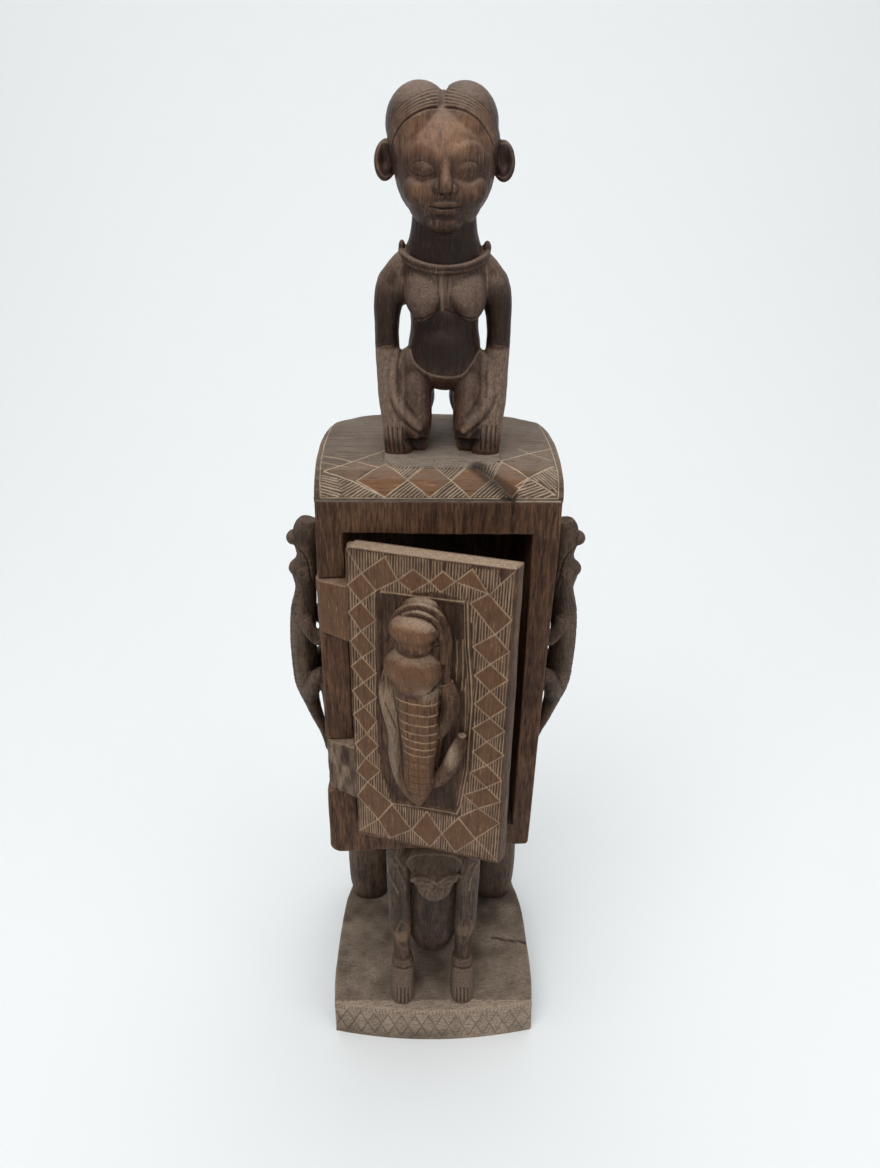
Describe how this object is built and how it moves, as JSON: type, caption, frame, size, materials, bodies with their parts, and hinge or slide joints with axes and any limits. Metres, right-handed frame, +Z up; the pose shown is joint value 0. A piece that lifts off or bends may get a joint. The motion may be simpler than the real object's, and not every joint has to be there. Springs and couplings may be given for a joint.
{
  "type": "wooden reliquary figure",
  "caption": "Carved wooden reliquary: a crouching animal carries a box with a hinged door, a kneeling figure on its roof and a reptile climbing each side",
  "frame": {"origin": "middle of the slab's resting face, where the piece stands", "axes": "+X to the viewer's right when facing the door, +Y from the door side to the back, +Z up along the height"},
  "size_m": [0.187, 0.2015, 0.645],
  "materials": {
    "slab_wood": "dusty, worn, hand carved hardwood",
    "carved_wood": "dark, dusty, hand carved hardwood",
    "box_wood": "brown hardwood with an adzed face",
    "door_wood": "reddish brown hardwood, incised and rubbed",
    "figure_wood": "dark hardwood, handled to a low sheen",
    "dowel_wood": "plain whittled hardwood"
  },
  "bodies": {
    "carcass": {"base_slab": "slab_wood", "animal_trunk": "carved_wood", "animal_head": "carved_wood", "animal_foreleg_left": "carved_wood", "animal_foreleg_right": "carved_wood", "animal_haunch_left": "carved_wood", "animal_haunch_right": "carved_wood", "box_shell": "box_wood", "roof_cap": "box_wood", "hinge_dowel": "dowel_wood", "reptile_left": "carved_wood", "reptile_right": "carved_wood", "figure_torso": "figure_wood", "figure_neck_ring": "figure_wood", "figure_head": "figure_wood", "figure_coiffure": "figure_wood", "figure_arm_left": "figure_wood", "figure_arm_right": "figure_wood", "figure_leg_left": "figure_wood", "figure_leg_right": "figure_wood"},
    "door": {"door_panel": "door_wood", "door_relief": "door_wood"}
  },
  "joints": [
    {"name": "door_hinge", "type": "hinge", "parent": "carcass", "child": "door", "pos_m": [-0.062, -0.0725, 0.3185], "axis": [0, 0, -1], "range_deg": [-16.5, 100]}
  ]
}
